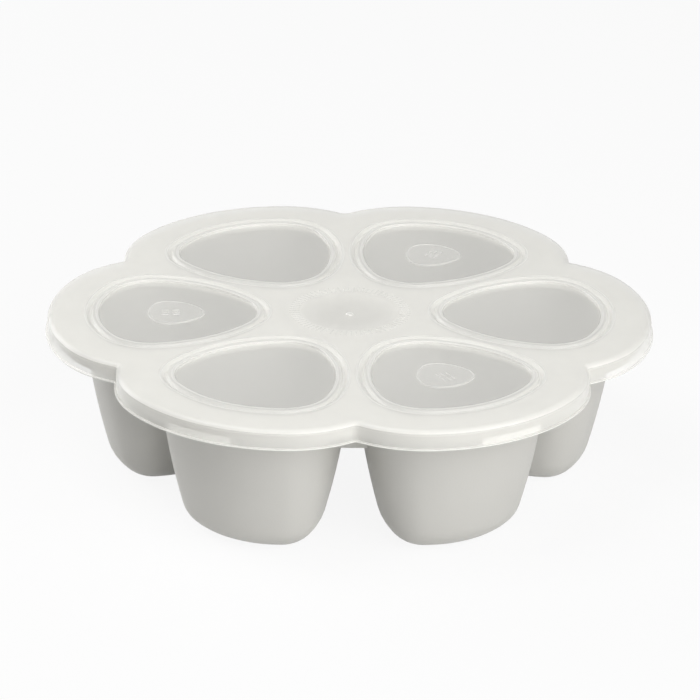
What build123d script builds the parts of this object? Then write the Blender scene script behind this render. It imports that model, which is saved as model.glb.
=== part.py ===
from build123d import *
import math
import os
from collections import namedtuple

# A freezer tray: one soft silicone moulding with a ring of drop-shaped cups, and one thin plastic
# lid that drops over its rim and plugs every cup. Millimetres. z = 0 is the table under the cups,
# the middle of the tray is on the Z axis, and +X runs along a lobe.

# Whole tray with its lid on
closed_height = 57.0
lobe_count = 6
lid_reach = 107.0  # middle of the lid to the lip at the end of a lobe

# Lobed outline of the lid's lip, as arcs that run into each other
crown_radius = 63.0  # across the end of a lobe
crown_half_angle = 27.6  # degrees, seen from the centre of that arc
lobe_side_radius = 40.0
notch_radius = 1.5  # hollow rounding between two lobes

# Drop outline of the cups and windows: a rounded triangle with its tip towards the middle
hub_reach = 27.9  # middle of the tray to the tip
border_width = 14.0  # outer side of the drop to the lip
land_width = 2.6  # flat strip between two neighbouring drops
tip_radius = 20.5
corner_radius = 20.5
outer_radius = 44.0  # arc of the outer side
belly_share = 0.4  # where the long sides come nearest to their neighbours, from tip to outer side

# Lid
sheet = 1.1
skirt_height = 7.1  # top of the lid to the lower edge of its lip
skirt_wall = 1.1
edge_radius = 2.0
lip_proud = 0.8
lip_height = 0.6
pad_length = 24.0  # grip pads inside the skirt, one at the end of each lobe
pad_height = 2.4
pad_proud = 0.8
dish_radius = 17.5
dish_depth = 1.2
gate_radius = 1.4
gate_proud = 0.45

# Seal round each window, from the drop outline inwards
groove_edge = 0.3
groove_wall_run = 1.8
groove_floor = 1.0
groove_depth = 1.5
bead_wall_run = 1.2
bead_top = 0.8
pane_wall_run = 0.7
pane_drop = 0.9  # top of the lid to the top of the pane
plug_drop = 2.6  # top of the lid to the foot of the plug
plug_side_run = 1.0
plug_floor = 2.0
plug_inner_run = 0.4
groove_round = 0.5
bead_round = 0.3
seal_margin = 0.4  # how far the seal's own section runs on into the lid and into the pane

# Raised plaques on every second window, small copies of the drop outline
plaque_length = 20.3
plaque_reach = 61.1  # middle of the lid to the middle of a plaque
plaque_proud = 0.35
plaque_step = 2

# Silicone tray
deck_thickness = 2.4
rim_width = 4.0
rim_thickness = 4.0
rim_top_round = 1.8
rim_under_round = 1.2
cup_proud = 0.5  # outside of a cup beyond the drop outline, under the deck
cup_wall = 1.5
cup_floor = 2.0
wall_lean = 5.3  # degrees from upright, under the deck
wall_radius = 265.0  # the cup's side swells on this arc from deck to foot
foot_radius = 12.6  # rounding between a cup's side and its flat foot
bowl_radius = 11.1  # the same inside
foot_limit_share = 0.96  # of the drop's smallest radius, for the edge of a cup's flat foot
mouth_round = 1.2
web_reach = 67.0  # middle of the tray to the outer face of the web between two cups
web_thickness = 3.0
web_width = 16.0
web_height = 20.8  # below the deck's top

# Clearances between lid and tray
seat_gap = 0.2
rim_clearance = 0.3
plug_clearance = 0.6

overrun = 2.0  # how far a cutting solid runs past the face that it cuts

# Levels and angles that follow
half_sector = 180.0 / lobe_count
deck_top = closed_height - sheet - seat_gap
deck_under = deck_top - deck_thickness
lip_under = closed_height - skirt_height
outer_reach = lid_reach - border_width
rim_inset = lip_proud + skirt_wall + pad_proud + rim_clearance
mouth_inset = cup_wall - cup_proud

# One arc of an outline: a negative sweep is a hollow arc
Bend = namedtuple("Bend", "centre radius start sweep")


def polar(reach, angle):
    return Vector(reach * math.cos(math.radians(angle)), reach * math.sin(math.radians(angle)))


def bearing(vector):
    return math.degrees(math.atan2(vector.Y, vector.X)) % 360


def spun(bend, angle):
    return Bend(bend.centre.rotate(Axis.Z, angle), bend.radius, bend.start + angle, bend.sweep)


def flipped(bend):
    """The same arc on the other side of the X axis."""
    centre = Vector(bend.centre.X, -bend.centre.Y)
    return Bend(centre, bend.radius, -bend.start - bend.sweep, bend.sweep)


def lobed_bends():
    """Arcs of the lid's lip, counter-clockwise, lobe by lobe."""
    crown = Vector(lid_reach - crown_radius, 0)
    side = crown + polar(crown_radius - lobe_side_radius, crown_half_angle)
    ray = polar(1, half_sector)
    along = side.dot(ray)
    span = lobe_side_radius + notch_radius
    notch = ray * (along + math.sqrt(along**2 - side.dot(side) + span**2))
    meet = bearing(notch - side)
    flank = Bend(side, lobe_side_radius, crown_half_angle, meet - crown_half_angle)
    lobe = [
        flipped(flank),
        Bend(crown, crown_radius, -crown_half_angle, 2 * crown_half_angle),
        flank,
        Bend(notch, notch_radius, meet + 180, 2 * (half_sector - meet)),
    ]
    return [spun(bend, 2 * half_sector * i) for i in range(lobe_count) for bend in lobe]


def drop_bends():
    """Arcs of the drop on +X, counter-clockwise from its outer side."""
    tip = Vector(hub_reach + tip_radius, 0)
    ray = polar(1, half_sector)
    square = polar(1, half_sector + 90)
    belly = hub_reach + belly_share * (outer_reach - hub_reach)
    touch = ray * belly - square * (land_width / 2)
    lean = touch - tip
    side_radius = (lean.dot(lean) - tip_radius**2) / (2 * (lean.dot(square) - tip_radius))
    side = touch - square * side_radius
    outer = Vector(outer_reach - outer_radius, 0)
    corner = crossing(side, side_radius - corner_radius, outer, outer_radius - corner_radius)
    to_corner = bearing(corner - outer)
    to_side = bearing(corner - side)
    to_tip = bearing(tip - side)
    upper = [
        Bend(corner, corner_radius, to_corner, to_side - to_corner),
        Bend(side, side_radius, to_side, to_tip - to_side),
    ]
    return [
        Bend(outer, outer_radius, -to_corner, 2 * to_corner),
        *upper,
        Bend(tip, tip_radius, to_tip, 2 * (180 - to_tip)),
        *[flipped(bend) for bend in reversed(upper)],
    ]


def crossing(first, first_radius, second, second_radius):
    """The upper of the two points where two circles cross."""
    apart = second - first
    reach = apart.length
    along = (reach**2 + first_radius**2 - second_radius**2) / (2 * reach)
    off = math.sqrt(first_radius**2 - along**2)
    foot = first + apart * (along / reach)
    step = apart.rotate(Axis.Z, 90) * (off / reach)
    return max(foot + step, foot - step, key=lambda point: point.Y)


def area(bends, inset=0.0):
    """The flat region inside an outline, drawn in by inset all round."""
    edges = [
        CenterArc(
            bend.centre,
            bend.radius - math.copysign(inset, bend.sweep),
            bend.start,
            bend.sweep,
        )
        for bend in bends
    ]
    return Face(Wire(edges))


def slab(bends, inset, low, high):
    return Pos(0, 0, low) * extrude(area(bends, inset), high - low)


def wrapped(bends, section):
    """A section, drawn outwards from the outline and upwards, carried round a convex outline."""
    pieces = []
    for bend in bends:
        stand = Plane(bend.centre, x_dir=polar(1, bend.start), z_dir=polar(1, bend.start - 90))
        profile = stand * Pos(bend.radius, 0) * section
        pieces.append(revolve(profile, Axis(bend.centre, (0, 0, 1)), bend.sweep))
    return pieces


def joined(pieces):
    return pieces[0].fuse(*pieces[1:])


def all_round(solid, step=1, shift=0.0):
    """Copies of a solid at every step-th lobe, turned on by shift degrees."""
    return [Rot(0, 0, 2 * half_sector * i + shift) * solid for i in range(0, lobe_count, step)]


def dished(level, thickness):
    """Round shallow dish in a sheet whose top is at level."""
    swing = (dish_radius**2 + dish_depth**2) / (2 * dish_depth)
    halfway = dish_radius / 2
    sag = dish_depth - swing + math.sqrt(swing**2 - halfway**2)
    arc = [(0, -dish_depth), (halfway, -sag), (dish_radius, 0)]
    upper = [(x, level + y) for x, y in arc]
    lower = [(x, y - thickness) for x, y in upper]
    section = make_face(
        [
            ThreePointArc(*upper),
            Line(upper[-1], lower[-1]),
            ThreePointArc(*lower),
            Line(lower[0], upper[0]),
        ]
    )
    return revolve(Plane.XZ * section, Axis.Z)


def cup_section(wall, floor, rounding, top):
    """Half of a cup's upright section, from the drop outline inwards, with its sides set in by wall.

    The second value is how far the flat foot's edge lies inside the drop outline.
    """
    hinge = Vector(cup_proud, deck_under) - polar(wall_radius, -wall_lean)
    swing = wall_radius - wall
    rise = hinge.Y - floor
    innermost = -min(tip_radius, corner_radius) * foot_limit_share
    widest = (swing**2 - rise**2 - (innermost - hinge.X) ** 2) / (2 * (swing - rise))
    turn = min(rounding, widest)
    foot = hinge.X + math.sqrt((swing - turn) ** 2 - (rise - turn) ** 2)
    meet = math.degrees(math.asin((rise - turn) / (swing - turn)))
    start = math.degrees(math.asin((hinge.Y - top) / swing))
    side = CenterArc(hinge, swing, -start, start - meet)
    heel = CenterArc((foot, floor + turn), turn, -meet, meet - 90)
    section = make_face(
        [
            side,
            heel,
            Line(heel @ 1, (foot, top)),
            Line((foot, top), side @ 0),
        ]
    )
    return section, -foot


def cup_block(wall, floor, rounding, top):
    """A solid cup shape, filled to the given level."""
    drop = drop_bends()
    section, inset = cup_section(wall, floor, rounding, top)
    return joined([slab(drop, inset, floor, top), *wrapped(drop, section)])


def cup_hollow():
    """What is taken out of the tray for one cup, with the rounded edge of its mouth."""
    hinge = Vector(cup_proud, deck_under) - polar(wall_radius, -wall_lean)
    swing = wall_radius - cup_wall
    level = deck_top - mouth_round
    lip = hinge.X + math.sqrt((swing + mouth_round) ** 2 - (hinge.Y - level) ** 2)
    lean = math.degrees(math.asin((hinge.Y - level) / (swing + mouth_round)))
    edge = CenterArc((lip, level), mouth_round, 180 - lean, lean - 90)
    low = edge @ 0
    high = edge @ 1
    root = -mouth_inset - cup_wall
    flare = make_face(
        [
            edge,
            Line(high, (high.X, deck_top + overrun)),
            Line((high.X, deck_top + overrun), (root, deck_top + overrun)),
            Line((root, deck_top + overrun), (root, low.Y)),
            Line((root, low.Y), low),
        ]
    )
    drop = drop_bends()
    bowl = cup_block(cup_wall, cup_floor, bowl_radius, low.Y)
    return joined([bowl, slab(drop, -root, low.Y, deck_top + overrun), *wrapped(drop, flare)])


def silicone_tray():
    lobes = lobed_bends()
    deck = slab(lobes, rim_inset + rim_width / 2, deck_under, deck_top)
    deck -= Pos(0, 0, deck_under) * Cylinder(dish_radius, 2 * deck_thickness + overrun)
    rim = slab(lobes, rim_inset, deck_top - rim_thickness, deck_top)
    rim = fillet(rim.edges().group_by(Axis.Z)[-1], rim_top_round)
    rim = fillet(rim.edges().group_by(Axis.Z)[0], rim_under_round)
    rim -= slab(lobes, rim_inset + rim_width, deck_top - rim_thickness - overrun, deck_top + overrun)
    web = Pos(web_reach - web_thickness / 2, 0, deck_top - web_height / 2) * Box(
        web_thickness, web_width, web_height
    )
    cup = cup_block(0.0, 0.0, foot_radius, deck_under)
    tray = deck.fuse(
        rim,
        dished(deck_top, deck_thickness),
        *all_round(cup),
        *all_round(web, shift=half_sector),
    )
    return tray.cut(*all_round(cup_hollow()))


def seal_section():
    """Section of the lid through the seal round a window: groove, bead and plug."""
    top = closed_height
    groove = groove_edge + groove_wall_run
    bead = groove + groove_floor + bead_wall_run
    pane = bead + bead_top + pane_wall_run
    inner = pane + seal_margin
    plug = mouth_inset + plug_clearance
    upper = FilletPolyline(
        (seal_margin, top),
        (-groove_edge, top),
        (-groove, top - groove_depth),
        (-groove - groove_floor, top - groove_depth),
        (-bead, top),
        (-bead - bead_top, top),
        (-pane, top - pane_drop),
        (-inner, top - pane_drop),
        radius=[groove_round] * 3 + [bead_round] * 3,
    )
    lower = Polyline(
        (-inner, top - pane_drop - sheet),
        (-plug - plug_floor - plug_inner_run, top - pane_drop - sheet),
        (-plug - plug_floor, top - plug_drop),
        (-plug, top - plug_drop),
        (-plug + plug_side_run, top - sheet),
        (seal_margin, top - sheet),
    )
    ends = [Line(upper @ 1, lower @ 0), Line(lower @ 1, upper @ 0)]
    return make_face([*upper.edges(), *lower.edges(), *ends]), inner


def plaque():
    """Raised plate on a pane: the drop outline made small, tip to the middle."""
    ratio = plaque_length / (outer_reach - hub_reach)
    level = closed_height - pane_drop
    middle = ratio * (outer_reach + hub_reach) / 2
    plate = extrude(scale(area(drop_bends()), ratio), sheet / 2 + plaque_proud)
    return Pos(plaque_reach - middle, 0, level - sheet / 2) * plate


def window():
    """Clear pane over one cup with the seal round it."""
    drop = drop_bends()
    section, inner = seal_section()
    level = closed_height - pane_drop
    return joined([slab(drop, inner, level - sheet, level), *wrapped(drop, section)])


def skirted_cover():
    """Lobed top with a rounded edge, a skirt and a lip round the skirt's foot."""
    lobes = lobed_bends()
    cover = slab(lobes, lip_proud, lip_under, closed_height)
    cover = fillet(cover.faces().sort_by(Axis.Z)[-1].edges(), edge_radius)
    cover += slab(lobes, 0.0, lip_under, lip_under + lip_height)
    hollow = slab(lobes, lip_proud + skirt_wall, lip_under - overrun, closed_height - sheet)
    hollow = fillet(hollow.faces().sort_by(Axis.Z)[-1].edges(), edge_radius - skirt_wall)
    return cover - hollow


def grip_pad():
    """Thick band inside the skirt at the end of the lobe on +X."""
    angle = math.degrees(pad_length / crown_radius)
    outer = crown_radius - lip_proud - skirt_wall / 2
    depth = skirt_wall / 2 + pad_proud
    section = Pos(outer - depth / 2, lip_under + pad_height / 2) * Rectangle(depth, pad_height)
    band = revolve(Plane.XZ * section, Axis.Z, angle)
    return Pos(lid_reach - crown_radius, 0) * Rot(0, 0, -angle / 2) * band


def gate_mark():
    """Small round stud that the moulding leaves in the middle of the dish."""
    level = closed_height - dish_depth + gate_proud
    stud = Pos(0, 0, level - sheet / 2) * Cylinder(gate_radius, sheet)
    return fillet(stud.edges().group_by(Axis.Z)[-1], gate_proud)


def lid():
    hole_low = closed_height - sheet - overrun
    window_hole = slab(drop_bends(), -seal_margin, hole_low, closed_height + overrun)
    dish_hole = Pos(0, 0, closed_height) * Cylinder(dish_radius, 2 * (sheet + overrun))
    cover = skirted_cover().cut(dish_hole, *all_round(window_hole))
    return cover.fuse(
        dished(closed_height, sheet),
        *all_round(window()),
        *all_round(grip_pad()),
        *all_round(plaque(), step=plaque_step, shift=2 * half_sector),
        gate_mark(),
    )


os.makedirs("parts", exist_ok=True)
export_step(silicone_tray(), "parts/silicone_tray.step")
export_step(lid(), "parts/lid.step")
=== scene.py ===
"""Dresses a freezer tray: a soft silicone tray with a ring of drop-shaped cups, and its milky lid.

Every length is kept in metres, in the frame's own axes: +Z up, +X along a lobe, z = 0 under the cups.
"""

import math
from collections import namedtuple

import bmesh
import bpy
from bpy.props import FloatProperty, FloatVectorProperty, IntProperty, PointerProperty
from mathutils import Matrix, Vector


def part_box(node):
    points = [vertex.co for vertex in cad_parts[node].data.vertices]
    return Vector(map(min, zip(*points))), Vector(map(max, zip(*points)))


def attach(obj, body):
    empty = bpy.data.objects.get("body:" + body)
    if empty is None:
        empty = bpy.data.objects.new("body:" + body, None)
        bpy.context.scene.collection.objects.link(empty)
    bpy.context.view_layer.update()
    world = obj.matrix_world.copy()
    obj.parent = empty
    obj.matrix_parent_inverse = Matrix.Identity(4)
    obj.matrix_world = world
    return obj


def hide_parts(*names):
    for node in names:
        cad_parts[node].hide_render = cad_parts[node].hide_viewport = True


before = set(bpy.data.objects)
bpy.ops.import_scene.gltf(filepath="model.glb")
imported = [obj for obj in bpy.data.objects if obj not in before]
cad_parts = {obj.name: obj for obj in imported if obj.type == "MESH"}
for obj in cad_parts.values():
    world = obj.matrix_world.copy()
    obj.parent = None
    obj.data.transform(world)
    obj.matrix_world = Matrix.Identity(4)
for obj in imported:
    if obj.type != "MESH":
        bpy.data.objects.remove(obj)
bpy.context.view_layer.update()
lid_low, lid_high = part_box("lid")
tray_low, tray_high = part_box("silicone_tray")

bl_info = {
    "name": "Freezer Tray Dresser",
    "version": (1, 0, 0),
    "blender": (4, 5, 0),
    "location": "3D View > Sidebar > Freezer Tray",
    "description": "Builds the silicone tray, its milky lid and the studio round them",
    "category": "Object",
}

MM = 0.001
LOBES = 6
SECTOR = 2 * math.pi / LOBES

# Finishes of the lid and of its plaques, by their place in the mesh's list; the third finish of the lid is
# a dense white that paints highlights
MILKY, CLEAR, PAINTED_HIGHLIGHT, THIN = range(4)
LINE, PLATE = range(2)

# Spacing of the vertices along the outlines
LIP_STEP = 1.3 * MM
SEAL_STEP = 1.0 * MM
DISH_STEP = 1.5 * MM
PLAQUE_STEP = 0.9 * MM
TRAY_STEP = 1.8 * MM
FEWEST_STEPS = 8  # along any arc, however short
SHARP_EDGE = math.radians(50)

# Width of the patches and grains in the finishes, and the detail of their noise
SILICONE_CLOUD = 22 * MM
SILICONE_GRAIN = 0.7 * MM
MILK_CLOUD = 16 * MM
FROST_GRAIN = 0.5 * MM
WEAR_PATCH = 6 * MM
FLOW_MARK = 9 * MM
CLOUD_DETAIL = 3.0
GRAIN_DETAIL = 2.0

# How far those patches and grains change a roughness, a density or the relief
CLOUD_SWING = 0.12
GRAIN_SWING = 0.08
FROST_SWING = 0.1
WEAR_SWING = 0.15
FLOW_SWING = 0.06
DENSITY_SWING = 0.06
SILICONE_RELIEF = 0.03 * MM
FROST_RELIEF = 0.02 * MM
CREST_RELIEF = 0.01 * MM
CLOUD_SHARE = 0.97  # of a colour that its darker patches keep
FLOW_SHARE = 0.98
SLANT_POWER = 3.0  # how late the skirt thickens as it turns away

# Stage
SEEN_RAYS = ("Is Camera Ray", "Is Glossy Ray", "Is Transmission Ray")
FLOOR_SIDE = 40
FLOOR_GAP = 0.05 * MM
NEAREST_VIEW = 0.05
FARTHEST_VIEW = 50


# Properties

def length(name, description, millimetres):
    return FloatProperty(name=name, description=description, default=millimetres * MM, unit="LENGTH")


def angle(name, description, degrees):
    turn = math.radians(degrees)
    return FloatProperty(name=name, description=description, default=turn, subtype="ANGLE")


def share(name, description, part):
    return FloatProperty(name=name, description=description, default=part, min=0, max=1, subtype="FACTOR")


def colour(name, description, tint):
    return FloatVectorProperty(
        name=name, description=description, default=tint, min=0, max=1, subtype="COLOR"
    )


def amount(name, description, default, unit="NONE"):
    return FloatProperty(name=name, description=description, default=default, min=0.0, unit=unit)


class OutlineSizes(bpy.types.PropertyGroup):
    """Plan of the lid's lip and of the drop that cups and windows share."""

    crown_radius: length("Crown radius", "Arc across the end of a lobe", 63.0)
    crown_half_angle: angle("Crown half angle", "Half of that arc, seen from its centre", 27.6)
    lobe_side_radius: length("Lobe side radius", "Arc at each side of a lobe", 40.0)
    notch_radius: length("Notch radius", "Hollow rounding between two lobes", 1.5)
    hub_reach: length("Hub reach", "Middle of the tray to the tip of a drop", 27.9)
    border_width: length("Border width", "Outer side of a drop to the lip", 14.0)
    land_width: length("Land width", "Strip between two neighbouring drops", 2.6)
    tip_radius: length("Tip radius", "Rounding of a drop's tip", 20.5)
    corner_radius: length("Corner radius", "Rounding of a drop's two outer corners", 20.5)
    outer_radius: length("Outer radius", "Arc of a drop's outer side", 44.0)
    belly_share: share("Belly share", "Where two drops come nearest, from tip to outer side", 0.4)


class LidSizes(bpy.types.PropertyGroup):
    """Sections of the lid."""

    sheet: length("Sheet", "Thickness of the lid's top", 1.1)
    skirt_wall: length("Skirt wall", "Thickness of the skirt", 1.1)
    edge_radius: length("Edge radius", "Rounding between top and skirt", 2.0)
    edge_flat: length("Edge flat", "Flat strip kept between that rounding and the top", 0.6)
    shoulder_share: share("Shoulder share", "Milky part of that rounding, from the top", 0.6)
    lip_proud: length("Lip proud", "Lip beyond the skirt", 0.8)
    lip_height: length("Lip height", "Height of the lip", 0.6)
    lip_round: length("Lip rounding", "Rounding of the lip's edges", 0.25)
    pad_length: length("Pad length", "Grip pad inside the skirt at the end of a lobe", 24.0)
    pad_height: length("Pad height", "Height of a grip pad", 2.4)
    pad_proud: length("Pad proud", "Grip pad beyond the skirt's inside", 0.5)
    pad_lift: length("Pad lift", "Foot of the skirt to a grip pad", 0.15)
    pad_round: length("Pad rounding", "Rounding of a grip pad", 0.3)
    pad_root: length("Pad root", "How far a grip pad is set into the skirt", 0.3)
    dish_radius: length("Dish radius", "Shallow dish in the middle", 17.5)
    dish_depth: length("Dish depth", "Depth of that dish", 1.2)
    gate_radius: length("Gate radius", "Round gate mark in the dish", 1.4)
    gate_proud: length("Gate proud", "Height of the gate mark", 0.45)
    groove_edge: length("Groove edge", "Drop outline to the groove", 0.3)
    groove_wall_run: length("Groove wall run", "Width of the groove's outer slope", 1.2)
    groove_floor: length("Groove floor", "Width of the groove's floor", 0.5)
    groove_depth: length("Groove depth", "Depth of the groove", 0.9)
    bead_wall_run: length("Bead wall run", "Width of the bead's outer slope", 0.6)
    bead_top: length("Bead top", "Width of the bead's top", 1.9)
    pane_wall_run: length("Pane wall run", "Width of the bead's inner slope", 0.5)
    pane_drop: length("Pane drop", "Top of the lid to the pane", 0.9)
    pane_edge: length("Pane edge", "Strip of the pane that the seal's section takes in", 0.4)
    plug_drop: length("Plug drop", "Top of the lid to the plug's foot", 3.1)
    plug_start: length("Plug start", "Drop outline to the plug's foot", 1.6)
    plug_side_run: length("Plug side run", "Width of the plug's outer slope", 1.0)
    plug_floor: length("Plug floor", "Width of the plug's foot", 2.0)
    plug_inner_run: length("Plug inner run", "Width of the plug's inner slope", 0.4)
    plug_round: length("Plug rounding", "Rounding of the plug's corners", 0.3)
    groove_round: length("Groove rounding", "Rounding in the groove", 0.4)
    bead_round: length("Bead rounding", "Rounding on the bead", 0.45)
    plaque_length: length("Plaque length", "Raised plate on every second pane", 20.3)
    plaque_reach: length("Plaque reach", "Middle of the lid to the middle of a plaque", 61.1)
    plaque_proud: length("Plaque proud", "Plaque above its pane", 0.3)
    plaque_rim_width: length("Plaque rim width", "Fine raised line round a plaque", 0.8)
    plaque_rim_proud: length("Plaque rim proud", "That line above the plaque", 0.22)
    plaque_root: length("Plaque root", "How far a plaque is set into its pane", 0.2)
    plaque_round: length("Plaque rounding", "Rounding of a plaque's edge", 0.18)
    plaque_rim_round: length("Plaque rim rounding", "Rounding of that line, inside", 0.1)
    tick_count: IntProperty(name="Tick count", description="Ticks in a row on a plaque", default=3, min=1)
    tick_length: length("Tick length", "Plain raised ticks, in two rows on a plaque", 2.6)
    tick_width: length("Tick width", "Width of a tick", 0.5)
    tick_proud: length("Tick proud", "Height of a tick", 0.16)
    tick_root: length("Tick root", "How far a tick is set into its plaque", 0.1)
    tick_round: length("Tick rounding", "Rounding of a tick", 0.08)
    tick_spacing: length("Tick spacing", "Distance from tick to tick", 1.9)
    tick_rows: length("Tick rows", "Distance from row to row", 3.8)
    rib_count: IntProperty(name="Rib count", description="Fine ribs round the dish", default=72, min=3)
    rib_reach: length("Rib reach", "Middle of the lid to the middle of a rib", 19.5)
    rib_length: length("Rib length", "Length of a rib", 3.8)
    rib_width: length("Rib width", "Width of a rib", 0.6)
    rib_proud: length("Rib proud", "Height of a rib", 0.12)
    rib_root: length("Rib root", "How far a rib is set into the lid's top", 0.2)
    rib_round: length("Rib rounding", "Rounding of a rib", 0.09)
    # Painted highlight: the dense white line along the seal's edges stands in for the light they catch.
    crest_width: length("Crest width", "Dense white line along the seal's edges", 1.0)
    crest_lead: length("Crest lead", "How far that line starts outside the drop outline", 0.5)


class TraySizes(bpy.types.PropertyGroup):
    """Sections of the silicone tray."""

    deck_thickness: length("Deck thickness", "Thickness of the deck", 2.4)
    rim_inset: length("Rim inset", "Lid's lip to the tray's rim", 2.6)
    rim_width: length("Rim width", "Width of the thick rim", 4.0)
    rim_thickness: length("Rim thickness", "Height of the thick rim", 5.0)
    rim_top_round: length("Rim top rounding", "Upper edge of the rim", 1.8)
    rim_under_round: length("Rim under rounding", "Lower edge of the rim", 1.2)
    rim_root_round: length("Rim root rounding", "Inner edges of the rim's foot", 0.4)
    rim_root_flat: length("Rim root flat", "Strip of the deck beside the rim's foot", 0.8)
    cup_proud: length("Cup proud", "Outside of a cup beyond the drop outline", 0.5)
    cup_wall: length("Cup wall", "Wall of a cup", 1.5)
    cup_floor: length("Cup floor", "Floor of a cup", 2.0)
    wall_lean: angle("Wall lean", "Cup's side from upright, under the deck", 5.3)
    wall_radius: length("Wall radius", "Swell of a cup's side", 265.0)
    foot_radius: length("Foot radius", "Rounding at a cup's foot, outside", 12.6)
    bowl_radius: length("Bowl radius", "Rounding at a cup's foot, inside", 11.1)
    mouth_round: length("Mouth rounding", "Rounded edge of a cup's mouth", 1.2)
    web_reach: length("Web reach", "Middle of the tray to the web between two cups", 67.0)
    web_thickness: length("Web thickness", "Thickness of that web", 3.0)
    web_height: length("Web height", "Deck's top to the web's lower edge", 20.8)
    web_round: length("Web rounding", "Rounded lower edge of the web", 1.0)
    web_root: length("Web root", "How far a web is set into the cups' walls", 0.7)


class Finishes(bpy.types.PropertyGroup):
    """Colours and finishes."""

    silicone: colour("Silicone", "Warm light grey of the tray", (0.585, 0.577, 0.545))
    silicone_shade: colour("Silicone shade", "Its slightly darker clouding", (0.565, 0.557, 0.525))
    silicone_roughness: share("Silicone roughness", "Satin surface of the tray", 0.48)
    milk: colour("Milk", "White of the lid's frosted plastic", (0.87, 0.864, 0.828))
    milk_density: share("Milk density", "How much each face of the frosted sheet covers", 0.6)
    milk_roughness: share("Milk roughness", "Frosted surface of the lid", 0.36)
    # Painted shade: the dish is greyed to stand in for the shade that falls in it, fading out from the
    # middle.
    dish: colour("Dish", "Greyer white of the dish", (0.765, 0.759, 0.727))
    dish_inner: length("Dish inner", "Where that grey starts to fade, from the middle", 6.0)
    dish_outer: length("Dish outer", "Where that grey has faded", 21.0)
    skirt_density: share("Skirt density", "How much each face of the thin skirt covers", 0.3)
    # Painted highlight: this dense white on the lip, the seal's edges and the gate mark stands in for the
    # light they catch; on the grip pads it is the thicker plastic.
    crest: colour("Crest", "Dense white of the lip, the seal's edges and the pads", (0.85, 0.844, 0.808))
    crest_density: share("Crest density", "How much each face of those parts covers", 0.85)
    crest_roughness: share("Crest roughness", "Polished surface of those parts", 0.22)
    pane: colour("Pane", "Tint of the clear windows", (0.90, 0.895, 0.865))
    pane_density: share("Pane density", "How much each face of a window covers", 0.33)
    plaque_density: share("Plaque density", "How much each face of a plaque adds", 0.1)
    line_density: share("Line density", "How much each face of a plaque's line and ticks adds", 0.28)
    pane_roughness: share("Pane roughness", "Polished surface of the windows", 0.33)
    shadow_share: share("Shadow share", "How much of its density a sheet keeps towards the lamps", 0.2)
    floor: colour("Floor", "Pale floor", (0.85, 0.85, 0.85))


class StageSettings(bpy.types.PropertyGroup):
    """Camera, lamps and floor."""

    azimuth: angle("Azimuth", "Camera round the tray", -1.534)
    elevation: angle("Elevation", "Camera above the horizon", 23.296)
    roll: angle("Roll", "Camera about its own axis", 0.779)
    distance: length("Distance", "Camera to the middle of the lid", 1508.1)
    lens: amount("Lens", "Focal length on a 36 mm sensor", 220.45, "CAMERA")
    shift_x: FloatProperty(name="Shift X", description="Camera shift", default=0.0002)
    shift_y: FloatProperty(name="Shift Y", description="Camera shift", default=-0.0556)
    world_strength: amount("World strength", "Even light from all round", 0.03)
    key_azimuth: angle("Key azimuth", "Key lamp, to the right of the front", 36.0)
    key_elevation: angle("Key elevation", "Key lamp above the horizon", 27.0)
    key_distance: length("Key distance", "Key lamp to the tray", 1600.0)
    key_size: length("Key size", "Side of the square key lamp", 1800.0)
    key_power: amount("Key power", "Power of the key lamp", 29.0, "POWER")
    fill_azimuth: angle("Fill azimuth", "Fill lamp, to the right of the front", -125.0)
    fill_elevation: angle("Fill elevation", "Fill lamp above the horizon", 15.0)
    fill_distance: length("Fill distance", "Fill lamp to the tray", 1600.0)
    fill_size: length("Fill size", "Side of the square fill lamp", 1000.0)
    fill_power: amount("Fill power", "Power of the fill lamp", 14.0, "POWER")
    top_azimuth: angle("Top azimuth", "Top lamp, to the right of the front", -60.0)
    top_elevation: angle("Top elevation", "Top lamp above the horizon", 65.0)
    top_distance: length("Top distance", "Top lamp to the tray", 1000.0)
    top_size: length("Top size", "Side of the square top lamp", 600.0)
    top_power: amount("Top power", "Power of the top lamp", 4.3, "POWER")
    floor_shadow: share("Floor shadow", "How much of the floor's own shading shows", 0.1)


# Outlines in plan

Arc = namedtuple("Arc", "centre radius start sweep")
Place = namedtuple("Place", "point facing")


def polar(reach, turn):
    return Vector((reach * math.cos(turn), reach * math.sin(turn)))


def bearing(vector):
    return math.atan2(vector.y, vector.x) % (2 * math.pi)


def spun(arc, turn):
    return Arc(Matrix.Rotation(turn, 2) @ arc.centre, arc.radius, arc.start + turn, arc.sweep)


def flipped(arc):
    """The same arc on the other side of the X axis."""
    return Arc(Vector((arc.centre.x, -arc.centre.y)), arc.radius, -arc.start - arc.sweep, arc.sweep)


def lobed_arcs(plan):
    """Arcs of the lid's lip, lobe by lobe."""
    crown = Vector((lid_high.x - plan.crown_radius, 0))
    side = crown + polar(plan.crown_radius - plan.lobe_side_radius, plan.crown_half_angle)
    ray = polar(1, SECTOR / 2)
    along = side.dot(ray)
    span = plan.lobe_side_radius + plan.notch_radius
    notch = ray * (along + math.sqrt(along**2 - side.length_squared + span**2))
    meet = bearing(notch - side)
    flank = Arc(side, plan.lobe_side_radius, plan.crown_half_angle, meet - plan.crown_half_angle)
    lobe = [
        flipped(flank),
        Arc(crown, plan.crown_radius, -plan.crown_half_angle, 2 * plan.crown_half_angle),
        flank,
        Arc(notch, plan.notch_radius, meet + math.pi, SECTOR - 2 * meet),
    ]
    return [spun(arc, SECTOR * i) for i in range(LOBES) for arc in lobe]


def crossing(first, first_radius, second, second_radius):
    """The upper of the two points where two circles cross."""
    apart = second - first
    along = (apart.length_squared + first_radius**2 - second_radius**2) / (2 * apart.length)
    off = math.sqrt(first_radius**2 - along**2)
    step = apart.normalized()
    square = Vector((-step.y, step.x))
    spots = (first + step * along + square * side * off for side in (1, -1))
    return max(spots, key=lambda spot: spot.y)


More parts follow.
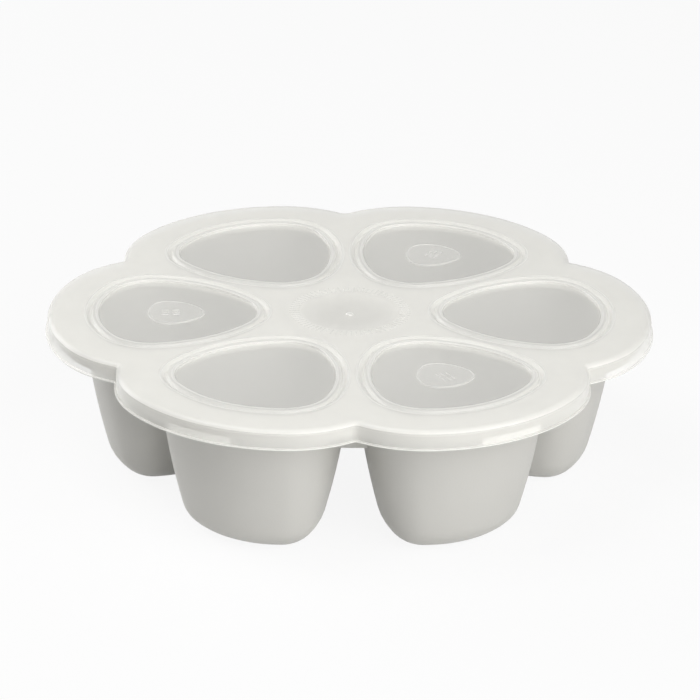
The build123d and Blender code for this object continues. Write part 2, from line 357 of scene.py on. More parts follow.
def drop_arcs(plan):
    """Arcs of the drop on +X, from its outer side round by its tip."""
    outer_reach = lid_high.x - plan.border_width
    tip = Vector((plan.hub_reach + plan.tip_radius, 0))
    ray = polar(1, SECTOR / 2)
    square = polar(1, SECTOR / 2 + math.pi / 2)
    belly = plan.hub_reach + plan.belly_share * (outer_reach - plan.hub_reach)
    touch = ray * belly - square * (plan.land_width / 2)
    lean = touch - tip
    spare = 2 * (lean.dot(square) - plan.tip_radius)
    side_radius = (lean.length_squared - plan.tip_radius**2) / spare
    side = touch - square * side_radius
    outer = Vector((outer_reach - plan.outer_radius, 0))
    soft = plan.corner_radius
    corner = crossing(side, side_radius - soft, outer, plan.outer_radius - soft)
    to_corner = bearing(corner - outer)
    to_side = bearing(corner - side)
    to_tip = bearing(tip - side)
    upper = [
        Arc(corner, soft, to_corner, to_side - to_corner),
        Arc(side, side_radius, to_side, to_tip - to_side),
    ]
    return [
        Arc(outer, plan.outer_radius, -to_corner, 2 * to_corner),
        *upper,
        Arc(tip, plan.tip_radius, to_tip, 2 * (math.pi - to_tip)),
        *[flipped(arc) for arc in reversed(upper)],
    ]


def circle_arcs(radius):
    return [Arc(Vector((0, 0)), radius, 0.0, 2 * math.pi)]


def traced(arcs, step):
    """Places along an outline, each with the direction that faces out of it."""
    places = []
    for arc in arcs:
        count = max(FEWEST_STEPS, round(abs(arc.sweep) * arc.radius / step))
        for i in range(count):
            out = polar(1, arc.start + arc.sweep * i / count)
            facing = out if arc.sweep > 0 else -out
            places.append(Place(arc.centre + out * arc.radius, facing))
    return places


def moved(places, spot):
    return [Place(place.point + spot, place.facing) for place in places]


def turned(places, turn):
    spin = Matrix.Rotation(turn, 2)
    return [Place(spin @ place.point, spin @ place.facing) for place in places]


# Sections: points of (inset, z), where inset runs inwards from an outline

def pairs(items):
    return zip(items, items[1:])


def rounded(points, radii, steps):
    """A section line with its inner corners rounded in steps, one radius to a corner."""
    corners = [Vector(point) for point in points]
    line = [corners[0]]
    for before, corner, after, radius in zip(corners, corners[1:], corners[2:], radii):
        if not radius:
            line.append(corner)
            continue
        arrive = (corner - before).normalized()
        leave = (after - corner).normalized()
        turn = arrive.angle_signed(leave)
        reach = radius * math.tan(abs(turn) / 2)
        start = corner - arrive * reach
        side = Vector((arrive.y, -arrive.x)) * math.copysign(radius, turn)
        for i in range(steps + 1):
            spin = Matrix.Rotation(-turn * i / steps, 2)
            line.append(start + side - spin @ side)
    line.append(corners[-1])
    return line


class Shell:
    """A mesh made of rings of vertices that follow outlines."""

    def __init__(self):
        self.bm = bmesh.new()

    def ring(self, places, inset, z):
        spots = [place.point - place.facing * inset for place in places]
        return [self.bm.verts.new((spot.x, spot.y, z)) for spot in spots]

    def band(self, first, second, material=0):
        for i in range(len(first)):
            face = self.bm.faces.new((first[i - 1], first[i], second[i], second[i - 1]))
            face.material_index = material

    def swept(self, places, section, materials=None):
        """Carries a section round an outline, and returns its first and last ring."""
        rings = [self.ring(places, point.x, point.y) for point in section]
        for i in range(len(rings) - 1):
            self.band(rings[i], rings[i + 1], materials[i] if materials else 0)
        return rings[0], rings[-1]

    def capped(self, ring, material=0):
        self.bm.faces.new(ring).material_index = material

    def block(self, rows, turn):
        """A closed block through rows of points, turned about the upright axis."""
        spin = Matrix.Rotation(turn, 3, "Z")
        rings = [[self.bm.verts.new(spin @ Vector(point)) for point in row] for row in rows]
        for first, second in pairs(rings):
            self.band(first, second)
        self.capped(rings[0])
        self.capped(rings[-1])

    def filled(self, rings):
        """Fills the flat area between an outer ring and the rings inside it."""
        edges = []
        for ring in rings:
            for i in range(len(ring)):
                pair = (ring[i - 1], ring[i])
                edges.append(self.bm.edges.get(pair) or self.bm.edges.new(pair))
        bmesh.ops.triangle_fill(self.bm, use_beauty=True, edges=edges)

    def piece(self, name, finishes):
        """The finished mesh as an object, smooth but for its sharp edges."""
        bmesh.ops.recalc_face_normals(self.bm, faces=self.bm.faces)
        mesh = bpy.data.meshes.new(name)
        self.bm.to_mesh(mesh)
        self.bm.free()
        for finish in finishes:
            mesh.materials.append(finish)
        mesh.shade_smooth()
        mesh.set_sharp_from_angle(angle=SHARP_EDGE)
        made = bpy.data.objects.new(name, mesh)
        bpy.context.scene.collection.objects.link(made)
        weights = made.modifiers.new("Even shading", "WEIGHTED_NORMAL")
        weights.keep_sharp = True
        return made


# Materials

class Value:
    """A shader socket that takes part in sums as a number does."""

    def __init__(self, finish, socket):
        self.finish = finish
        self.socket = socket

    def __add__(self, other):
        return self.finish.maths("ADD", self, other)

    def __sub__(self, other):
        return self.finish.maths("SUBTRACT", self, other)

    def __rsub__(self, other):
        return self.finish.maths("SUBTRACT", other, self)

    def __mul__(self, other):
        return self.finish.maths("MULTIPLY", self, other)

    __radd__ = __add__
    __rmul__ = __mul__


class Finish:
    """The node tree of a material or a world under construction."""

    def __init__(self, owner):
        self.owner = owner
        owner.use_nodes = True
        self.tree = owner.node_tree
        self.tree.nodes.clear()

    def node(self, kind, settings=None, sockets=None):
        """Adds a node of any kind: its settings first, then the values or links of its sockets."""
        made = self.tree.nodes.new(kind)
        for key, setting in (settings or {}).items():
            setattr(made, key, setting)
        for key, given in (sockets or {}).items():
            if isinstance(given, Value):
                self.tree.links.new(given.socket, made.inputs[key])
            else:
                made.inputs[key].default_value = given
        return made

    def out(self, node, key=0):
        return Value(self, node.outputs[key])

    def maths(self, operation, *values):
        sockets = dict(enumerate(values))
        return self.out(self.node("ShaderNodeMath", {"operation": operation}, sockets))

    def place(self):
        return self.out(self.node("ShaderNodeTexCoord"), "Object")

    def noise(self, grain, detail=GRAIN_DETAIL):
        """Smooth noise whose lumps are about a grain across."""
        sockets = {"Vector": self.place(), "Scale": 1 / grain, "Detail": detail}
        return self.out(self.node("ShaderNodeTexNoise", None, sockets), "Fac")

    def varied(self, middle, noise, swing):
        """A value that strays from its middle with the noise, by a swing from end to end."""
        return middle + swing * (noise - 0.5)

    def mixed(self, factor, first, second):
        """A colour between two colours, each a value or three numbers."""
        ends = [end if isinstance(end, Value) else (*end, 1.0) for end in (first, second)]
        sockets = {"Factor": factor, 6: ends[0], 7: ends[1]}  # 6, 7 and output 2 are the colours
        return self.out(self.node("ShaderNodeMix", {"data_type": "RGBA"}, sockets), 2)

    def near_middle(self, inner, outer):
        """One round the upright axis, easing to zero between an inner and an outer reach."""
        level = {"operation": "MULTIPLY"}
        flat = self.out(self.node("ShaderNodeVectorMath", level, {0: self.place(), 1: (1, 1, 0)}))
        reach = self.out(self.node("ShaderNodeVectorMath", {"operation": "LENGTH"}, {0: flat}), "Value")
        sockets = {"Value": reach, "From Min": inner, "From Max": outer, "To Min": 1.0, "To Max": 0.0}
        return self.out(self.node("ShaderNodeMapRange", {"interpolation_type": "SMOOTHSTEP"}, sockets))

    def bump(self, height, depth):
        sockets = {"Height": height, "Distance": depth}
        return self.out(self.node("ShaderNodeBump", None, sockets), "Normal")

    def ray(self, *kinds):
        """One where the ray is of any of the kinds, and zero elsewhere."""
        path = self.node("ShaderNodeLightPath")
        found = self.out(path, kinds[0])
        for kind in kinds[1:]:
            found = self.maths("MAXIMUM", found, self.out(path, kind))
        return found

    def slanted(self):
        """Zero where a surface faces the viewer, one where it is seen edge on."""
        return self.out(self.node("ShaderNodeLayerWeight", None, {"Blend": 0.5}), "Facing")

    def veil(self, density, shadow_share):
        """Density of a frosted sheet, which scatters light on and so shades less than it covers."""
        return (1 - (1 - shadow_share) * self.ray("Is Shadow Ray")) * density

    def blended(self, factor, first, second):
        """A shader between two shaders."""
        return self.out(self.node("ShaderNodeMixShader", None, {0: factor, 1: first, 2: second}))

    def surface(self, **sockets):
        """A principled surface; a socket's name is written with underscores."""
        named = {key.replace("_", " ").title(): given for key, given in sockets.items()}
        return self.shown(self.out(self.node("ShaderNodeBsdfPrincipled", None, named)))

    def shown(self, shader, end="ShaderNodeOutputMaterial"):
        self.node(end, None, {"Surface": shader})
        return self.owner


def dimmed(tint, part):
    return [channel * part for channel in tint]


def satin_silicone(looks, name):
    """Satin silicone with faint clouding and a fine moulded grain."""
    finish = Finish(bpy.data.materials.new(name))
    cloud = finish.noise(SILICONE_CLOUD, CLOUD_DETAIL)
    grain = finish.noise(SILICONE_GRAIN)
    satin = finish.varied(looks.silicone_roughness, cloud, CLOUD_SWING)
    return finish.surface(
        base_color=finish.mixed(cloud, looks.silicone_shade, looks.silicone),
        roughness=finish.varied(satin, grain, GRAIN_SWING),
        normal=finish.bump(grain, SILICONE_RELIEF),
    )


def milky_plastic(looks, name):
    """Frosted plastic: a fine grain that scatters, a density that clouds a little, and a greyer middle that
    paints the shade in the dish.
    """
    finish = Finish(bpy.data.materials.new(name))
    cloud = finish.noise(MILK_CLOUD, CLOUD_DETAIL)
    grain = finish.noise(FROST_GRAIN)
    milk = finish.mixed(cloud, dimmed(looks.milk, CLOUD_SHARE), looks.milk)
    # painted shade: towards the middle the milk is greyed to the dish colour
    middle = finish.near_middle(looks.dish_inner, looks.dish_outer)
    density = finish.varied(looks.milk_density, cloud, DENSITY_SWING)
    return finish.surface(
        base_color=finish.mixed(middle, milk, looks.dish),
        roughness=finish.varied(looks.milk_roughness, grain, FROST_SWING),
        alpha=finish.veil(density, looks.shadow_share),
        normal=finish.bump(grain, FROST_RELIEF),
    )


def skirt_plastic(looks, name):
    """The thin upright skirt: the same plastic, seen through where it faces the viewer."""
    finish = Finish(bpy.data.materials.new(name))
    grain = finish.noise(FROST_GRAIN)
    slant = finish.maths("POWER", finish.slanted(), SLANT_POWER)
    density = looks.skirt_density + (1 - looks.skirt_density) * slant
    return finish.surface(
        base_color=(*looks.milk, 1.0),
        roughness=finish.varied(looks.milk_roughness, grain, FROST_SWING),
        alpha=finish.veil(density, looks.shadow_share),
        normal=finish.bump(grain, FROST_RELIEF),
    )


def crest_plastic(looks, name):
    """The same plastic made dense and white, polished by handling: a painted highlight on the lip, the
    seal's edges and the gate mark, and the thicker plastic of the grip pads.
    """
    finish = Finish(bpy.data.materials.new(name))
    wear = finish.noise(WEAR_PATCH, CLOUD_DETAIL)
    return finish.surface(
        base_color=finish.mixed(wear, dimmed(looks.crest, CLOUD_SHARE), looks.crest),
        roughness=finish.varied(looks.crest_roughness, wear, WEAR_SWING),
        alpha=finish.veil(looks.crest_density, looks.shadow_share),
        normal=finish.bump(finish.noise(FROST_GRAIN), CREST_RELIEF),
    )


def polished(looks, name, density):
    """Polished clear plastic with faint flow marks of the moulding."""
    finish = Finish(bpy.data.materials.new(name))
    flow = finish.noise(FLOW_MARK)
    return finish.surface(
        base_color=finish.mixed(flow, dimmed(looks.pane, FLOW_SHARE), looks.pane),
        roughness=finish.varied(looks.pane_roughness, flow, FLOW_SWING),
        alpha=finish.veil(density, looks.shadow_share),
    )


def clear_plastic(looks, name):
    return polished(looks, name, looks.pane_density)


def plaque_plastic(looks, name):
    return polished(looks, name, looks.plaque_density)


def line_plastic(looks, name):
    return polished(looks, name, looks.line_density)


def shared(maker, looks):
    """A material that pieces share, made when the first of them asks for it."""
    name = maker.__name__
    return bpy.data.materials.get(name) or maker(looks, name)


# Pieces

def around(places):
    """The places of one drop, at each lobe in turn."""
    return [turned(places, SECTOR * i) for i in range(LOBES)]


def dish_section(level, sizes, studded):
    """Upright section of the dish from its edge to the middle, inset from the edge."""
    radius = sizes.dish_radius
    swing = (radius**2 + sizes.dish_depth**2) / (2 * sizes.dish_depth)
    low = level - sizes.dish_depth

    def height(reach):
        return low + swing - math.sqrt(swing**2 - reach**2)

    steps = 10
    inner = sizes.gate_radius
    reaches = [radius + (inner - radius) * i / steps for i in range(steps + 1)]
    section = [Vector((radius - reach, height(reach))) for reach in reaches]
    if studded:
        side = radius - inner
        soft = sizes.gate_proud
        top = height(inner) + soft
        corners = [(side, top - soft), (side, top), (side + soft, top)]
        section += rounded(corners, [soft], steps=5)[2:-1]
    return section


def lid_edge_section(sizes):
    """From the top's flat, over the edge, down the skirt, round the lip and up inside."""
    top = lid_high.z
    foot = lid_low.z
    under = top - sizes.sheet
    ledge = foot + sizes.lip_height
    inside = sizes.lip_proud + sizes.skirt_wall
    inner_radius = sizes.edge_radius - sizes.skirt_wall
    return rounded(
        [
            (sizes.lip_proud + sizes.edge_radius + sizes.edge_flat, top),
            (sizes.lip_proud, top),
            (sizes.lip_proud, ledge),
            (0, ledge),
            (0, foot),
            (inside, foot),
            (inside, under),
            (inside + inner_radius + sizes.edge_flat, under),
        ],
        [sizes.edge_radius, sizes.lip_round / 2, *[sizes.lip_round] * 3, inner_radius],
        steps=8,
    )


def bead_edges(sizes):
    """Outer and inner edge of the bead's top, inset from the drop outline."""
    outer = sizes.groove_edge + sizes.groove_wall_run + sizes.groove_floor + sizes.bead_wall_run
    return outer, outer + sizes.bead_top


def seal_sections(sizes):
    """Upper and lower line of the lid through the seal round a window, from outline to pane."""
    top = lid_high.z
    groove = sizes.groove_edge + sizes.groove_wall_run
    bead, bead_end = bead_edges(sizes)
    pane = bead_end + sizes.pane_wall_run
    inner = pane + sizes.pane_edge
    level = top - sizes.pane_drop
    upper = rounded(
        [
            (-sizes.crest_lead, top),
            (sizes.groove_edge, top),
            (groove, top - sizes.groove_depth),
            (groove + sizes.groove_floor, top - sizes.groove_depth),
            (bead, top),
            (bead_end - sizes.crest_width, top),
            (bead_end, top),
            (pane, level),
            (inner, level),
        ],
        [sizes.groove_round] * 3 + [sizes.bead_round, 0, sizes.bead_round, sizes.bead_round],
        steps=3,
    )
    plug_end = sizes.plug_start + sizes.plug_floor
    lower = rounded(
        [
            (0, top - sizes.sheet),
            (sizes.plug_start - sizes.plug_side_run, top - sizes.sheet),
            (sizes.plug_start, top - sizes.plug_drop),
            (plug_end, top - sizes.plug_drop),
            (plug_end + sizes.plug_inner_run, level - sizes.sheet),
            (inner, level - sizes.sheet),
        ],
        [sizes.plug_round] * 4,
        steps=3,
    )
    return upper, lower


def edge_zones(section, sizes):
    """Finish of each strip of the lid's edge: milky top, thin skirt, a dense white lip that paints its
    highlight, with a clear foot.
    """
    shoulder = lid_high.z - sizes.shoulder_share * sizes.edge_radius
    lip = lid_low.z + sizes.lip_height / 2
    line = (sizes.lip_height - sizes.lip_round) / 2
    zones = []
    for a, b in pairs(section):
        middle = (a + b) / 2
        if middle.y > shoulder or middle.x > sizes.lip_proud + sizes.edge_radius:
            zones.append(MILKY)
        elif middle.x > sizes.lip_proud or middle.y > lip + line:
            zones.append(THIN)
        else:
            # painted highlight: the lip's band gets the dense white
            zones.append(PAINTED_HIGHLIGHT if middle.y > lip - line else CLEAR)
    return zones


def seal_zones(section, sizes):
    """Finish of each strip round a window: dense white on the two edges as painted highlights, clear past
    the bead, else milky.
    """
    bead_end = bead_edges(sizes)[1]
    pane = bead_end + sizes.pane_wall_run / 2
    highlight_lines = (sizes.groove_edge / 2, bead_end - sizes.crest_width / 2)
    zones = []
    for a, b in pairs(section):
        middle = (a + b) / 2
        # painted highlight: a dense white band along the groove's edge and along the bead's inner edge
        if any(abs(middle.x - crest) < sizes.crest_width / 2 for crest in highlight_lines):
            zones.append(PAINTED_HIGHLIGHT)
        else:
            zones.append(CLEAR if middle.x > pane else MILKY)
    return zones


def build_lid(plan, sizes, finishes):
    """The lid as one closed shell: lobed border and skirt, six sealed windows and the dish."""
    shell = Shell()
    lobed = traced(lobed_arcs(plan), LIP_STEP)
    drop = traced(drop_arcs(plan), SEAL_STEP)
    hub = traced(circle_arcs(sizes.dish_radius), DISH_STEP)
    border = lid_edge_section(sizes)
    tops, unders = ([ring] for ring in shell.swept(lobed, border, edge_zones(border, sizes)))
    upper, lower = seal_sections(sizes)
    lower_zones = [MILKY] * (len(lower) - 2) + [CLEAR]
    for places in around(drop):
        faces = ((upper, seal_zones(upper, sizes), tops), (lower, lower_zones, unders))
        for section, zones, side in faces:
            edge, pane = shell.swept(places, section, zones)
            side.append(edge)
            shell.capped(pane, CLEAR)
    levels = ((lid_high.z, tops, True), (lid_high.z - sizes.sheet, unders, False))
    for level, side, studded in levels:
        dish = dish_section(level, sizes, studded)
        gate = sizes.dish_radius - sizes.gate_radius
        # painted highlight: the gate mark in the middle of the dish gets the dense white
        zones = [MILKY if (a.x + b.x) / 2 < gate else PAINTED_HIGHLIGHT for a, b in pairs(dish)]
        edge, middle = shell.swept(hub, dish, zones)
        side.append(edge)
        shell.capped(middle, zones[-1])
        shell.filled(side)
    return shell.piece("milky_lid", finishes)


def wall_centre(sizes):
    """Centre of the arc that a cup's side follows, as reach beyond the drop outline and level."""
    start = Vector((sizes.cup_proud, tray_high.z - sizes.deck_thickness))
    return start - polar(sizes.wall_radius, -sizes.wall_lean)


def bent(centre, radius, start, end, steps):
    """Section points along an arc whose turns are counted downwards from level."""
    turns = [start + (end - start) * i / steps for i in range(steps + 1)]
    points = [centre + polar(radius, -turn) for turn in turns]
    return [Vector((-point.x, point.y)) for point in points]


def cup_line(sizes, wall, floor, rounding, top):
    """Section of a cup's side from a level at the top down to the edge of its flat foot."""
    hinge = wall_centre(sizes)
    swing = sizes.wall_radius - wall
    rise = hinge.y - floor
    foot = hinge.x + math.sqrt((swing - rounding) ** 2 - (rise - rounding) ** 2)
    meet = math.asin((rise - rounding) / (swing - rounding))
    start = math.asin((hinge.y - top) / swing)
    side = bent(hinge, swing, start, meet, steps=9)
    heel = bent(Vector((foot, floor + rounding)), rounding, meet, math.pi / 2, steps=9)
    return side[:-1] + heel


def mouth_line(sizes, wall):
    """Rounded edge of a cup's mouth, from the deck's flat to just above the cup's inner side."""
    high = tray_high.z
    soft = sizes.mouth_round
    corners = [(wall - soft, high), (wall, high), (wall, high - soft)]
    return rounded(corners, [soft], steps=6)[1:-2]


def outer_wall(sizes, z):
    """How far the outside of a cup lies inside the drop outline at a level."""
    hinge = wall_centre(sizes)
    return -hinge.x - math.sqrt(sizes.wall_radius**2 - (hinge.y - z) ** 2)


def wall_from_ray(drop, inset, reach):
    """Distance from the ray between two cups to the wall of a cup, at a reach along that ray."""
    ray = polar(1, SECTOR / 2)
    square = Vector((ray.y, -ray.x))
    wall = [place.point - place.facing * inset for place in drop]
    found = []
    for a, b in zip(wall, wall[1:] + wall[:1]):
        along = (a.dot(ray) - reach, b.dot(ray) - reach)
        if along[0] * along[1] <= 0 and along[0] != along[1]:
            spot = a.lerp(b, along[0] / (along[0] - along[1]))
            found.append(spot.dot(square))
    return min(found)


def add_webs(shell, drop, sizes):
    """Closed blocks under the deck that tie each pair of neighbouring cups, set into their walls."""
    high = tray_high.z - sizes.deck_thickness / 2
    low = tray_high.z - sizes.web_height
    back = sizes.web_reach - sizes.web_thickness
    side_steps = 6
    levels = [high + (low + sizes.web_round - high) * i / side_steps for i in range(side_steps + 1)]
    face = sizes.web_reach
    corners = [(face, levels[-1]), (face, low), (back, low), (back, levels[-1])]
    foot = rounded(corners, [sizes.web_round] * 2, steps=4)
    front = [Vector((face, level)) for level in levels[:-1]]
    rear = [Vector((back, level)) for level in reversed(levels[:-1])]
    section = front + foot[1:-1] + rear
    ends = []
    for point in section:
        wall = wall_from_ray(drop, outer_wall(sizes, point.y), point.x)
        ends.append((point.x, wall + sizes.web_root, point.y))
    rows = (ends, [(x, -y, z) for x, y, z in ends])
    for i in range(LOBES):
        shell.block(rows, SECTOR * (i + 0.5))


def build_tray(plan, sizes, lid, finish):
    """The tray as one shell, with the webs between its cups as closed blocks set into their walls."""
    shell = Shell()
    deck_top = tray_high.z
    deck_under = deck_top - sizes.deck_thickness
    rim_foot = deck_top - sizes.rim_thickness
    inside = sizes.rim_inset + sizes.rim_width
    lobed = traced(lobed_arcs(plan), TRAY_STEP)
    drop = traced(drop_arcs(plan), TRAY_STEP)
    hub = traced(circle_arcs(lid.dish_radius), TRAY_STEP)
    rim = rounded(
        [
            (inside, deck_top),
            (sizes.rim_inset, deck_top),
            (sizes.rim_inset, rim_foot),
            (inside, rim_foot),
            (inside, deck_under),
            (inside + sizes.rim_root_flat, deck_under),
        ],
        [sizes.rim_top_round, sizes.rim_under_round, *[sizes.rim_root_round] * 2],
        steps=5,
    )
    tops, unders = ([ring] for ring in shell.swept(lobed, rim))
    mouth_level = deck_top - sizes.mouth_round
    bowl = cup_line(sizes, sizes.cup_wall, sizes.cup_floor, sizes.bowl_radius, mouth_level)
    inner = mouth_line(sizes, bowl[0].x) + bowl
    outer = cup_line(sizes, 0.0, tray_low.z, sizes.foot_radius, deck_under)
    for places in around(drop):
        for section, side in ((inner, tops), (outer, unders)):
            edge, foot = shell.swept(places, section)
            side.append(edge)
            shell.capped(foot)
    for level, side in ((deck_top, tops), (deck_under, unders)):
        edge, middle = shell.swept(hub, dish_section(level, lid, False))
        side.append(edge)
        shell.capped(middle)
        shell.filled(side)
    add_webs(shell, drop, sizes)
    return shell.piece("soft_tray", [finish])


def build_pads(plan, sizes, finish):
    """Grip pads inside the skirt, one at the end of each lobe."""
    shell = Shell()
    inside = sizes.lip_proud + sizes.skirt_wall
    root = inside - sizes.pad_root
    face = inside + sizes.pad_proud
    low = lid_low.z + sizes.pad_lift
    high = low + sizes.pad_height
    corners = [(root, low), (face, low), (face, high), (root, high)]
    section = rounded(corners, [sizes.pad_round] * 2, steps=3)
    sweep = sizes.pad_length / plan.crown_radius
    crown = Vector((lid_high.x - plan.crown_radius, 0))
    steps = 24
    rows = []
    for i in range(steps + 1):
        out = polar(1, sweep * (i / steps - 0.5))
        rows.append([(*(crown + out * (plan.crown_radius - point.x)), point.y) for point in section])
    for lobe in range(LOBES):
        shell.block(rows, SECTOR * lobe)
    return shell.piece("grip_pads", [finish])


def lozenge(half_length, half_width, steps=5):
    """Places round a bar with round ends that lies along X at the origin."""
    reach = half_length - half_width
    places = []
    for end in (1, -1):
        for i in range(steps + 1):
            out = polar(1, math.pi * (i / steps - 0.5)) * end
            places.append(Place(Vector((reach * end, 0)) + out * half_width, out))
    return places


def raised_bar(shell, places, foot, top, soft):
    """A closed bar with a rounded upper edge."""
    inner = 3 * soft  # leaves a flat strip beside the rounding
    section = rounded([(0, foot), (0, top), (inner, top)], [soft], steps=3)
    lower, upper = shell.swept(places, section)
    shell.capped(lower)
    shell.capped(upper)


def build_plaques(plan, sizes, finishes):
    """Raised plates on every second pane: the drop made small, with a fine line round its edge."""
    shell = Shell()
    outer_reach = lid_high.x - plan.border_width
    ratio = sizes.plaque_length / (outer_reach - plan.hub_reach)
    middle = ratio * (outer_reach + plan.hub_reach) / 2
    level = lid_high.z - sizes.pane_drop
    face = level + sizes.plaque_proud
    line = face + sizes.plaque_rim_proud
    section = rounded(
        [
            (0, level - sizes.plaque_root),
            (0, line),
            (sizes.plaque_rim_width, line),
            (sizes.plaque_rim_width, face),
            (2 * sizes.plaque_rim_width, face),
        ],
        [sizes.plaque_round, *[sizes.plaque_rim_round] * 2],
        steps=3,
    )
    small = [
        Place(place.point * ratio + Vector((sizes.plaque_reach - middle, 0)), place.facing)
        for place in traced(drop_arcs(plan), PLAQUE_STEP)
    ]
    tick = lozenge(sizes.tick_length / 2, sizes.tick_width / 2)
    zones = [LINE if max(a.x, b.x) <= sizes.plaque_rim_width else PLATE for a, b in pairs(section)]
    for lobe in range(1, LOBES, 2):
        foot, flat = shell.swept(turned(small, SECTOR * lobe), section, zones)
        shell.capped(foot, PLATE)
        shell.capped(flat, PLATE)
        for row in (0, 1):
            for i in range(sizes.tick_count):
                across = sizes.tick_spacing * (i - (sizes.tick_count - 1) / 2)
                spot = Vector((sizes.plaque_reach + sizes.tick_rows * row, across))
                places = turned(moved(tick, spot), SECTOR * lobe)
                raised_bar(shell, places, face - sizes.tick_root, face + sizes.tick_proud, sizes.tick_round)
    return shell.piece("pane_plaques", finishes)


def build_ribs(sizes, finish):
    """Ring of fine ribs round the dish."""
    shell = Shell()
    foot = lid_high.z - sizes.rib_root
    top = lid_high.z + sizes.rib_proud
    bar = lozenge(sizes.rib_length / 2, sizes.rib_width / 2)
    bar = moved(bar, Vector((sizes.rib_reach, 0)))
    for i in range(sizes.rib_count):
        places = turned(bar, 2 * math.pi * i / sizes.rib_count)
        raised_bar(shell, places, foot, top, sizes.rib_round)
    return shell.piece("dish_ribs", [finish])


def seated(piece, body, slot, *nodes):
    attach(piece, body)
    if nodes:
        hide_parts(*nodes)


# Operators

class FREEZERTRAY_OT_tray(bpy.types.Operator):
    """Build the silicone tray"""

    bl_idname = "freezer_tray.tray"
    bl_label = "Silicone Tray"

    def execute(self, context):
        scene = context.scene
        finish = shared(satin_silicone, scene.tray_finishes)
        piece = build_tray(scene.tray_outline, scene.tray_sizes, scene.lid_sizes, finish)
        seated(piece, "tray", "silicone", "silicone_tray")
        return {"FINISHED"}


class FREEZERTRAY_OT_lid(bpy.types.Operator):
    """Build the lid with its windows"""

    bl_idname = "freezer_tray.lid"
    bl_label = "Milky Lid"

    def execute(self, context):
        scene = context.scene
        makers = (milky_plastic, clear_plastic, crest_plastic, skirt_plastic)
        finishes = [shared(maker, scene.tray_finishes) for maker in makers]
        piece = build_lid(scene.tray_outline, scene.lid_sizes, finishes)
        seated(piece, "lid", "lid_plastic", "lid")
        return {"FINISHED"}


class FREEZERTRAY_OT_lid_details(bpy.types.Operator):
    """Add the grip pads, the plaques and the ribs to the lid"""

    bl_idname = "freezer_tray.lid_details"
    bl_label = "Lid Details"

    def execute(self, context):
        scene = context.scene
        plan = scene.tray_outline
        sizes = scene.lid_sizes
        makers = (crest_plastic, line_plastic, plaque_plastic)
        crest, line, plaque = (shared(maker, scene.tray_finishes) for maker in makers)
        seated(build_pads(plan, sizes, crest), "lid", "lid_plastic")
        seated(build_plaques(plan, sizes, [line, plaque]), "lid", "lid_plastic")
        seated(build_ribs(sizes, plaque), "lid", "lid_plastic")
        return {"FINISHED"}


def floor_finish(looks, stage):
    """Pale floor that shows almost white, with the tray's shadow kept."""
    finish = Finish(bpy.data.materials.new("pale_floor"))
    ground = finish.out(finish.node("ShaderNodeBsdfDiffuse", None, {"Color": (*looks.floor, 1.0)}))
    white = finish.out(finish.node("ShaderNodeEmission", None, {"Strength": 1.0}))
    seen = finish.ray(*SEEN_RAYS)
    return finish.shown(finish.blended(seen * (1 - stage.floor_shadow), ground, white))


def white_room(stage):
    """Even light from all round, plain white where it is seen."""
    finish = Finish(bpy.data.worlds.new("white_room"))
    white = {"Color": (1, 1, 1, 1)}
    light, plain = (
        finish.out(finish.node("ShaderNodeBackground", None, {**white, "Strength": strength}))
        for strength in (stage.world_strength, 1.0)
    )
    seen = finish.ray(*SEEN_RAYS)
    return finish.shown(finish.blended(seen, light, plain), "ShaderNodeOutputWorld")


def from_front(azimuth, elevation):
    """Direction from the tray to a camera or lamp, turned to the right from the front and raised."""
    level = math.cos(elevation)
    return Vector((math.sin(azimuth) * level, -math.cos(azimuth) * level, math.sin(elevation)))


def soft_lamp(name, azimuth, elevation, distance, size, power):
    """Square area lamp that points at the middle of the tray."""
    lamp = bpy.data.lights.new(name, "AREA")
    lamp.size = size
    lamp.energy = power
    stand = bpy.data.objects.new(name, lamp)
    back = from_front(azimuth, elevation)
    stand.location = Vector((0, 0, lid_high.z)) + back * distance
    stand.rotation_euler = back.to_track_quat("Z", "Y").to_euler()
    bpy.context.scene.collection.objects.link(stand)


def photo_camera(stage):
    """Camera at the photograph's viewing angle, aimed from the middle of the lid's top."""
    back = from_front(stage.azimuth, stage.elevation)
    level = Vector((math.cos(stage.azimuth), math.sin(stage.azimuth), 0))
    upright = back.cross(level)
    right = level * math.cos(stage.roll) + upright * math.sin(stage.roll)
    up = upright * math.cos(stage.roll) - level * math.sin(stage.roll)
    lens = bpy.data.cameras.new("photo_camera")
    lens.lens = stage.lens
    lens.shift_x = stage.shift_x
    lens.shift_y = stage.shift_y
    lens.clip_start = NEAREST_VIEW
    lens.clip_end = FARTHEST_VIEW
    camera = bpy.data.objects.new("photo_camera", lens)
    turn = Matrix((right, up, back)).transposed().to_4x4()
    camera.matrix_world = Matrix.Translation(Vector((0, 0, lid_high.z)) + back * stage.distance) @ turn
    bpy.context.scene.collection.objects.link(camera)
    bpy.context.scene.camera = camera


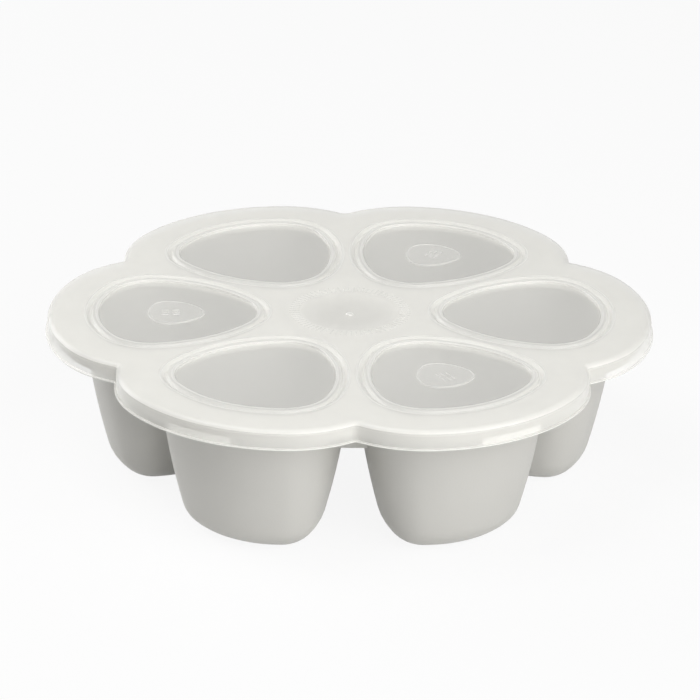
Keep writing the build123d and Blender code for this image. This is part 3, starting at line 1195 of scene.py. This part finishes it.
class FREEZERTRAY_OT_stage(bpy.types.Operator):
    """Set the floor, the lamps, the world and the camera"""

    bl_idname = "freezer_tray.stage"
    bl_label = "Stage"

    def execute(self, context):
        scene = context.scene
        stage = scene.tray_stage
        bpy.ops.mesh.primitive_plane_add(size=FLOOR_SIDE, location=(0, 0, tray_low.z - FLOOR_GAP))
        floor = context.object
        floor.name = "studio_floor"
        floor.data.materials.append(floor_finish(scene.tray_finishes, stage))
        scene.world = white_room(stage)
        for lamp in ("key", "fill", "top"):
            keys = ("azimuth", "elevation", "distance", "size", "power")
            soft_lamp(f"{lamp}_lamp", *[getattr(stage, f"{lamp}_{key}") for key in keys])
        photo_camera(stage)
        scene.view_settings.view_transform = "Standard"
        return {"FINISHED"}


class FREEZERTRAY_PT_panel(bpy.types.Panel):
    """Sizes, finishes and the buttons that build the tray"""

    bl_idname = "FREEZERTRAY_PT_panel"
    bl_label = "Freezer Tray"
    bl_space_type = "VIEW_3D"
    bl_region_type = "UI"
    bl_category = "Freezer Tray"

    def draw(self, context):
        layout = self.layout
        for operator in OPERATORS:
            layout.operator(operator.bl_idname)
        for label, group, key in GROUPS:
            box = layout.box()
            box.label(text=label)
            for name in group.__annotations__:
                box.prop(getattr(context.scene, key), name)


OPERATORS = (
    FREEZERTRAY_OT_tray,
    FREEZERTRAY_OT_lid,
    FREEZERTRAY_OT_lid_details,
    FREEZERTRAY_OT_stage,
)
GROUPS = (
    ("Outlines", OutlineSizes, "tray_outline"),
    ("Lid", LidSizes, "lid_sizes"),
    ("Tray", TraySizes, "tray_sizes"),
    ("Finishes", Finishes, "tray_finishes"),
    ("Stage", StageSettings, "tray_stage"),
)


def register():
    for _, group, key in GROUPS:
        bpy.utils.register_class(group)
        setattr(bpy.types.Scene, key, PointerProperty(type=group))
    for operator in OPERATORS:
        bpy.utils.register_class(operator)
    bpy.utils.register_class(FREEZERTRAY_PT_panel)


def unregister():
    bpy.utils.unregister_class(FREEZERTRAY_PT_panel)
    for operator in reversed(OPERATORS):
        bpy.utils.unregister_class(operator)
    for _, group, key in reversed(GROUPS):
        delattr(bpy.types.Scene, key)
        bpy.utils.unregister_class(group)


def main():
    register()
    bpy.ops.freezer_tray.tray()
    bpy.ops.freezer_tray.lid()
    bpy.ops.freezer_tray.lid_details()
    bpy.ops.freezer_tray.stage()


if __name__ == "__main__":
    main()
